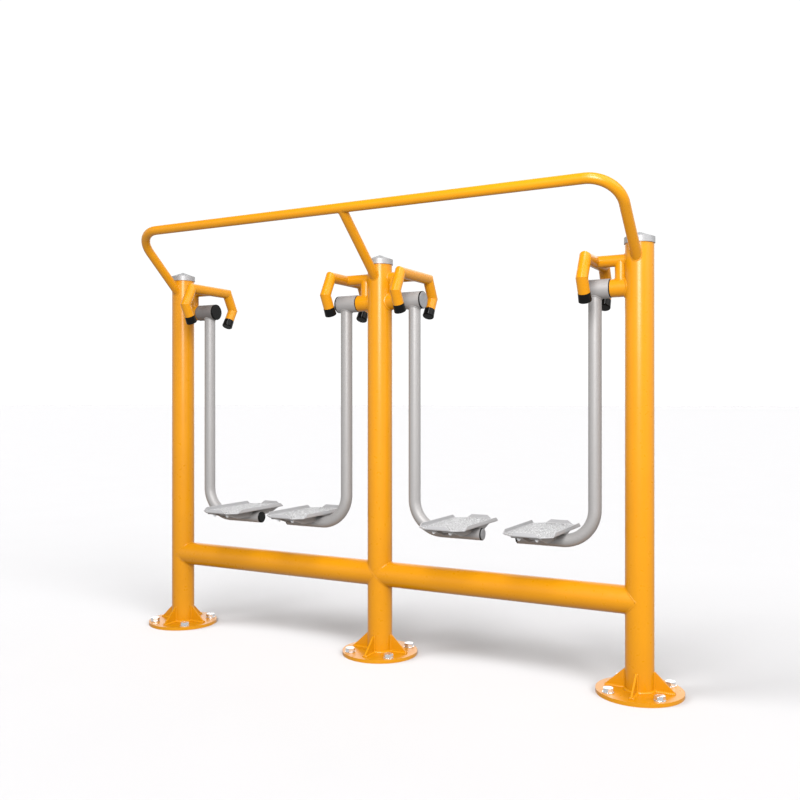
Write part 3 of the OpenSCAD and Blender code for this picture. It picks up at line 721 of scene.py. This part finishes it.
class WALKER_OT_frame_welds(bpy.types.Operator):
    """Weld the beams, stubs, links, yoke arms and rail to the posts and to each other"""

    bl_idname = "walker.frame_welds"
    bl_label = "Frame welds"

    # Legs of the welds, as shares of the tube weld leg
    BEAM_END = 0.8
    RAIL_FOOT = 0.7
    STRUT_HEAD = 0.6
    STUB_FOOT = 1.25
    YOKE_ARM_FOOT = 1.0
    LINK_HEAD = 0.5
    LINK_FOOT = 0.7
    CROSS_BAR = 0.6

    def execute(self, context):
        leg = sizes().tube_leg
        self.weld_beams(leg)
        self.weld_rail(leg)
        for station in STATIONS:
            self.weld_station(station, leg)
        return {"FINISHED"}

    def weld_beams(self, leg):
        """Both ends of both beams."""
        mesh = bmesh.new()
        for post, way in ((0, X_AXIS), (1, -X_AXIS), (1, X_AXIS), (2, -X_AXIS)):
            centre = Vector((POSTS[post], 0, BEAM_Z))
            frames = saddle(centre, way, BEAM_R, centre, Z_AXIS, POST_R)
            add_bead(mesh, frames, self.BEAM_END * leg, True)
        build("beam_welds", mesh, "orange_powder_coat", "frame")

    def weld_rail(self, leg):
        """The feet of both legs and of the strut, and the strut's head under the grip bar."""
        mesh = bmesh.new()
        slope = Vector((0, RAIL_Y, RAIL_Z - RAIL_FOOT_Z)).normalized()
        for place in POSTS:
            foot = Vector((place, 0, RAIL_FOOT_Z))
            frames = saddle(foot, slope, RAIL_R, foot, Z_AXIS, POST_R)
            add_bead(mesh, frames, self.RAIL_FOOT * leg, True)
        head = Vector((0, RAIL_Y, RAIL_Z))
        frames = saddle(head, -slope, RAIL_R, head, X_AXIS, RAIL_R)
        add_bead(mesh, frames, self.STRUT_HEAD * leg, True)
        build("rail_welds", mesh, "orange_powder_coat", "frame")

    def weld_station(self, station, leg):
        """A station's stub and yoke arm on the post, the link between them, and the cross bar."""
        mesh = bmesh.new()
        way = side_of(station) * X_AXIS
        post = Vector((post_of(station), 0, 0))
        link = LINK_X * way
        arm = post + YOKE_Z * Z_AXIS
        stub = post + PIVOT_Z * Z_AXIS
        bar = arm + ARM_X * way
        for frames, share in (
                (saddle(stub, way, STUB_R, post, Z_AXIS, POST_R), self.STUB_FOOT),
                (saddle(arm, way, YOKE_R, post, Z_AXIS, POST_R), self.YOKE_ARM_FOOT),
                (saddle(arm + link, -Z_AXIS, LINK_R, arm, X_AXIS, YOKE_R), self.LINK_HEAD),
                (saddle(stub + link, Z_AXIS, LINK_R, stub, X_AXIS, STUB_R), self.LINK_FOOT),
                (saddle(bar, -way, YOKE_R, bar, Y_AXIS, YOKE_R), self.CROSS_BAR)):
            add_bead(mesh, frames, share * leg, True)
        build(f"station_{station}_welds", mesh, "orange_powder_coat", "frame")


class WALKER_OT_mitre_seams(bpy.types.Operator):
    """Close the mitres of the stop yokes with ground seams"""

    bl_idname = "walker.mitre_seams"
    bl_label = "Mitre seams"

    def execute(self, context):
        leg = sizes().seam_leg
        for station in STATIONS:
            mesh = bmesh.new()
            plane = post_of(station) + side_of(station) * ARM_X
            for side in (-1, 1):
                down = Vector((0, side * math.sin(YOKE_SPLAY), -math.cos(YOKE_SPLAY)))
                back = Vector((0, -side * math.sin(YOKE_SPLAY), -math.cos(YOKE_SPLAY)))
                shoulder = Vector((plane, side * YOKE_HALF, YOKE_Z))
                knee = shoulder + YOKE_UPPER * down
                add_bead(mesh, mitre(shoulder, side * Y_AXIS, down, YOKE_R), leg, True)
                add_bead(mesh, mitre(knee, down, back, YOKE_R), leg, True)
            build(f"yoke_{station}_seams", mesh, "orange_powder_coat", "frame")
        return {"FINISHED"}


class WALKER_OT_arm_welds(bpy.types.Operator):
    """Weld each swing tube to its hub and the plate bars to the tube"""

    bl_idname = "walker.arm_welds"
    bl_label = "Arm welds"

    # Legs of the welds, as shares of the tube weld leg
    HUB = 0.9
    PLATE_BAR = 0.7
    # Turns round the tube, from its top, at which the beads of a notch and of an edge end
    NOTCH_END = 0.35
    EDGE_END = 0.42

    def execute(self, context):
        leg = sizes().tube_leg
        for station in STATIONS:
            mesh = bmesh.new()
            post = Vector((post_of(station), 0, 0))
            way = side_of(station) * X_AXIS
            hub = post + ARM_X * way + PIVOT_Z * Z_AXIS
            frames = saddle(hub, -Z_AXIS, TUBE_R, hub, X_AXIS, HUB_R)
            add_bead(mesh, frames, self.HUB * leg, True)
            for row in (-1, 1):
                bar = post + (PLATE_X - POSTS[1]) * way + row * BAR_PITCH / 2 * X_AXIS
                self.weld_bar(mesh, bar, self.PLATE_BAR * leg)
            coat = "silver_powder_coat"
            build(f"arm_{station}_welds", mesh, coat, f"swing_arm_{station}")
        return {"FINISHED"}

    def weld_bar(self, mesh, bar, leg):
        """Beads round the notch in a bar's web, and along the bar's two edges on top of the tube."""
        run = bar + RUN_Z * Z_AXIS
        reach = math.acos((BAR_UNDER - BAR_WEB_H - RUN_Z) / TUBE_R)
        for face, way in ((BAR_HALF_W - BAR_WEB_T, -X_AXIS), (BAR_HALF_W, X_AXIS)):
            for side in (-1, 1):
                turns = (side * reach, side * self.NOTCH_END)
                frames = circle(run + face * X_AXIS, TUBE_R, Z_AXIS, Y_AXIS,
                                lambda out: out, lambda out, way=way: way, turns)
                add_bead(mesh, frames, leg, False)
        for side in (-1, 1):
            turns = (-self.EDGE_END, self.EDGE_END)
            frames = circle(run + side * BAR_HALF_W * X_AXIS, TUBE_R, Z_AXIS, Y_AXIS,
                            lambda out: Z_AXIS, lambda out, side=side: side * X_AXIS, turns)
            add_bead(mesh, frames, leg, False)


class WALKER_OT_anchor_rods(bpy.types.Operator):
    """Set a threaded rod end in each anchor nut"""

    bl_idname = "walker.anchor_rods"
    bl_label = "Anchor rods"

    PITCH = 0.0025
    THREAD_DEPTH = 0.0009
    CHAMFER = 0.0012
    FOOT_Z = 0.0005
    SEGMENTS = 32

    def execute(self, context):
        mesh = bmesh.new()
        for place in POSTS:
            for quarter in range(4):
                turn = math.pi / 4 + math.pi / 2 * quarter
                way = Vector((math.cos(turn), math.sin(turn), 0))
                centre = Vector((place, 0, 0)) + ANCHOR_RING_R * way
                lathe(mesh, Matrix.Translation(centre), self.outline(), self.SEGMENTS)
        build("anchor_rods", mesh, "zinc_plated_steel", "frame", smooth=False)
        return {"FINISHED"}

    def outline(self):
        """Half of a rod's section, from its foot to its chamfered end, with a tooth at each pitch."""
        top = NUT_TOP
        root = ROD_R - self.THREAD_DEPTH
        z = self.FOOT_Z
        points = [(0, z), (root, z)]
        while z + self.PITCH < top - self.CHAMFER:
            points += [(ROD_R, z + 0.5 * self.PITCH), (root, z + self.PITCH)]
            z += self.PITCH
        points += [(ROD_R, top - self.CHAMFER), (ROD_R - self.CHAMFER, top), (0, top)]
        return points


class WALKER_OT_plate_grit(bpy.types.Operator):
    """Bed grit on the floor of each foot plate"""

    bl_idname = "walker.plate_grit"
    bl_label = "Plate grit"

    GRAIN_SIDES = 5
    GRAIN_SINK = 0.0003
    # How near a grain comes to a cut corner, where 1 is the cut itself
    CORNER_REACH = 0.95

    def execute(self, context):
        for station in STATIONS:
            picker = random.Random(station)
            low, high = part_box(f"foot_plate_{station}")
            centre = Vector(((low.x + high.x) / 2, 0, PLATE_LOW.z + PLATE_T))
            mesh = bmesh.new()
            made = 0
            while made < sizes().grain_count:
                x = picker.uniform(-1, 1) * PLATE_FLOOR_HALF_W
                y = picker.uniform(-1, 1) * PLATE_FLOOR_HALF_L
                size = sizes().grain_r * picker.uniform(0.6, 1.3)
                if self.on_floor(abs(x), abs(y), size):
                    self.add_grain(mesh, picker, centre + Vector((x, y, 0)), size)
                    made += 1
            body = f"swing_arm_{station}"
            build(f"foot_plate_{station}_grit", mesh, "grit", body, smooth=False)
        return {"FINISHED"}

    def on_floor(self, x, y, size):
        """Whether a grain lies on the flat floor, inside its cut corners and off the bolt heads."""
        cut_x = (x - END_FLANGE_HALF) / (PLATE_FLOOR_HALF_W - END_FLANGE_HALF)
        cut_y = (y - SIDE_FLANGE_HALF) / (PLATE_FLOOR_HALF_L - SIDE_FLANGE_HALF)
        inside = cut_x + cut_y < self.CORNER_REACH
        clear = math.hypot(x - BOLT_X, y - BOLT_Y) > BOLT_HEAD_R + size
        on_sheet = x < PLATE_FLOOR_HALF_W - size and y < PLATE_FLOOR_HALF_L - size
        return on_sheet and inside and clear

    def add_grain(self, mesh, picker, at, size):
        """A low five-sided grain with a blunt top."""
        spin = picker.uniform(0, 2 * math.pi)
        height = size * picker.uniform(0.35, 0.6)
        base, top = [], []
        for i in range(self.GRAIN_SIDES):
            turn = spin + 2 * math.pi * i / self.GRAIN_SIDES
            reach = size * picker.uniform(0.8, 1.1)
            way = Vector((math.cos(turn), math.sin(turn), 0))
            base.append(mesh.verts.new(at + reach * way - Vector((0, 0, self.GRAIN_SINK))))
            top.append(mesh.verts.new(at + 0.5 * reach * way + Vector((0, 0, height))))
        for i in range(self.GRAIN_SIDES):
            j = (i + 1) % self.GRAIN_SIDES
            mesh.faces.new((base[i], base[j], top[j], top[i]))
        mesh.faces.new(top)
        mesh.faces.new(base)


class WALKER_OT_stage(bpy.types.Operator):
    """Set up the white studio: floor, sky, lights and camera"""

    bl_idname = "walker.stage"
    bl_label = "Stage"

    FLOOR_HALF = 150.0
    FLOOR_Z = -0.0002
    # Strength of the white that the camera sees behind the floor
    WHITE = 1.05
    # Where the sky's strengths stand, from 0 straight down to 1 straight up
    UNDER_AT = 0.42
    HORIZON_FROM = 0.49
    HORIZON_TO = 0.67
    OVERHEAD_AT = 0.80
    PANEL_WIDTH = 1.1
    PANEL_HEIGHT = 1.9
    SENSOR_MM = 36

    def execute(self, context):
        floor = self.make_floor(context)
        self.make_sky(context)
        self.make_lights(context, floor)
        self.make_camera(context)
        return {"FINISHED"}

    def make_floor(self, context):
        """A wide flat floor just under the base plates."""
        mesh = bmesh.new()
        corners = ((-1, -1), (1, -1), (1, 1), (-1, 1))
        mesh.faces.new([mesh.verts.new((self.FLOOR_HALF * x, self.FLOOR_HALF * y, self.FLOOR_Z))
                        for x, y in corners])
        data = bpy.data.meshes.new("floor")
        mesh.to_mesh(data)
        mesh.free()
        data.materials.append(finish("studio_floor"))
        floor = bpy.data.objects.new("floor", data)
        floor.visible_diffuse = False
        floor.visible_glossy = False
        context.scene.collection.objects.link(floor)
        return floor

    def make_sky(self, context):
        """Light that is strongest at the horizon. The camera itself sees plain white."""
        studio = context.scene.walker_studio
        world = bpy.data.worlds.new("studio_sky")
        world.use_nodes = True
        tree = world.node_tree
        tree.nodes.clear()
        way = add(tree, "TexCoord").outputs["Generated"]
        height = add(tree, "SeparateXYZ", {"Vector": way}).outputs["Z"]
        ramp = add(tree, "ValToRGB", {
            "Fac": add(tree, "MapRange", {"Value": height, "From Min": -1.0}).outputs["Result"]})
        stops = ((self.UNDER_AT, studio.under_strength), (self.HORIZON_FROM, studio.horizon_strength),
                 (self.HORIZON_TO, studio.horizon_strength), (self.OVERHEAD_AT, studio.sky_strength))
        while len(ramp.color_ramp.elements) < len(stops):
            ramp.color_ramp.elements.new(1)
        for element, (place, strength) in zip(ramp.color_ramp.elements, stops):
            element.position = place
            element.color = (strength, strength, strength, 1)
        light = add(tree, "Background", {"Color": ramp.outputs["Color"]})
        white = add(tree, "Background", {"Color": (1, 1, 1, 1), "Strength": self.WHITE})
        seen = add(tree, "LightPath").outputs["Is Camera Ray"]
        mix = add(tree, "MixShader", {0: seen, 1: light.outputs[0], 2: white.outputs[0]})
        output = add(tree, "OutputWorld")
        tree.links.new(mix.outputs[0], output.inputs["Surface"])
        context.scene.world = world

    def make_lights(self, context, floor):
        """A high light, three wide ones for the floor, two that fill from the right and from behind,
        and a panel by the camera."""
        studio = context.scene.walker_studio
        high = (studio.key_strength, studio.key_softness, "EXCLUDE")
        middle_floor = (studio.floor_strength, studio.floor_softness, "INCLUDE")
        outer_floor = (studio.floor_sides, studio.floor_softness, "INCLUDE")
        side = (studio.side_strength, studio.fill_softness, "EXCLUDE")
        back = (studio.back_strength, studio.fill_softness, "EXCLUDE")
        centre = Vector((0, 0, 0))
        for name, (strength, softness, state), place in (
                ("high_light", high, Vector((0.28, -1.0, 2.25))),
                ("floor_light", middle_floor, Vector((0.10, -1.0, 1.25))),
                ("floor_left", outer_floor, Vector((-1.6, -0.9, 1.0))),
                ("floor_right", outer_floor, Vector((1.6, -0.8, 1.0))),
                ("side_light", side, Vector((3.0, -0.5, 2.4))),
                ("back_light", back, Vector((-1.2, 3.0, 1.8)))):
            light = bpy.data.lights.new(name, "SUN")
            light.energy = strength
            light.angle = softness
            self.limit(self.aim(context, light, place, centre), floor, state)
        panel = bpy.data.lights.new("front_panel", "AREA")
        panel.shape = "RECTANGLE"
        panel.size = self.PANEL_WIDTH
        panel.size_y = self.PANEL_HEIGHT
        panel.energy = studio.panel_power
        beside_camera = Vector((1.35, -2.75, 2.3))
        lamp = self.aim(context, panel, beside_camera, Vector((0, 0, 1.35)))
        self.limit(lamp, floor, "EXCLUDE")

    def limit(self, lamp, floor, state):
        """Makes a light shine on the floor alone, or on all but the floor."""
        group = bpy.data.collections.new(lamp.name + "_reach")
        group.objects.link(floor)
        lamp.light_linking.receiver_collection = group
        for entry in group.collection_objects:
            entry.light_linking.link_state = state

    def aim(self, context, light, place, target):
        """Puts a light at a place, facing a target, and returns its object."""
        lamp = bpy.data.objects.new(light.name, light)
        lamp.location = place
        lamp.rotation_euler = (target - place).to_track_quat("-Z", "Y").to_euler()
        context.scene.collection.objects.link(lamp)
        return lamp

    def make_camera(self, context):
        """The camera at the photograph's place."""
        studio = context.scene.walker_studio
        data = bpy.data.cameras.new("camera")
        data.sensor_width = self.SENSOR_MM
        data.lens = studio.camera_lens
        camera = bpy.data.objects.new("camera", data)
        camera.location = studio.camera_place
        camera.rotation_euler = (studio.camera_tilt, 0, studio.camera_turn)
        context.scene.collection.objects.link(camera)
        context.scene.camera = camera
        context.scene.view_settings.view_transform = "Standard"
        context.scene.view_settings.look = "None"


class WALKER_PT_panel(bpy.types.Panel):
    """Lists the operators and their values"""

    bl_idname = "WALKER_PT_panel"
    bl_label = "Air Walker"
    bl_space_type = "VIEW_3D"
    bl_region_type = "UI"
    bl_category = "Air Walker"

    def draw(self, context):
        layout = self.layout
        for operator in OPERATORS:
            layout.operator(operator.bl_idname)
        for key in GROUPS:
            group = getattr(context.scene, key)
            box = layout.box()
            for name in group.__annotations__:
                box.prop(group, name)


OPERATORS = (
    WALKER_OT_stage,
    WALKER_OT_finishes,
    WALKER_OT_foot_welds,
    WALKER_OT_frame_welds,
    WALKER_OT_mitre_seams,
    WALKER_OT_arm_welds,
    WALKER_OT_anchor_rods,
    WALKER_OT_plate_grit,
)
GROUPS = {"walker_sizes": WalkerSizes, "walker_colours": WalkerColours, "walker_studio": WalkerStudio}


def register():
    """Adds the classes and the scene's property groups."""
    for item in (*GROUPS.values(), *OPERATORS, WALKER_PT_panel):
        bpy.utils.register_class(item)
    for name, group in GROUPS.items():
        setattr(bpy.types.Scene, name, PointerProperty(type=group))


def unregister():
    """Removes what register added."""
    for name in GROUPS:
        delattr(bpy.types.Scene, name)
    for item in reversed((*GROUPS.values(), *OPERATORS, WALKER_PT_panel)):
        bpy.utils.unregister_class(item)


def main():
    """Builds everything."""
    register()
    bpy.ops.walker.stage()
    bpy.ops.walker.finishes()
    bpy.ops.walker.foot_welds()
    bpy.ops.walker.frame_welds()
    bpy.ops.walker.mitre_seams()
    bpy.ops.walker.arm_welds()
    bpy.ops.walker.anchor_rods()
    bpy.ops.walker.plate_grit()


if __name__ == "__main__":
    main()
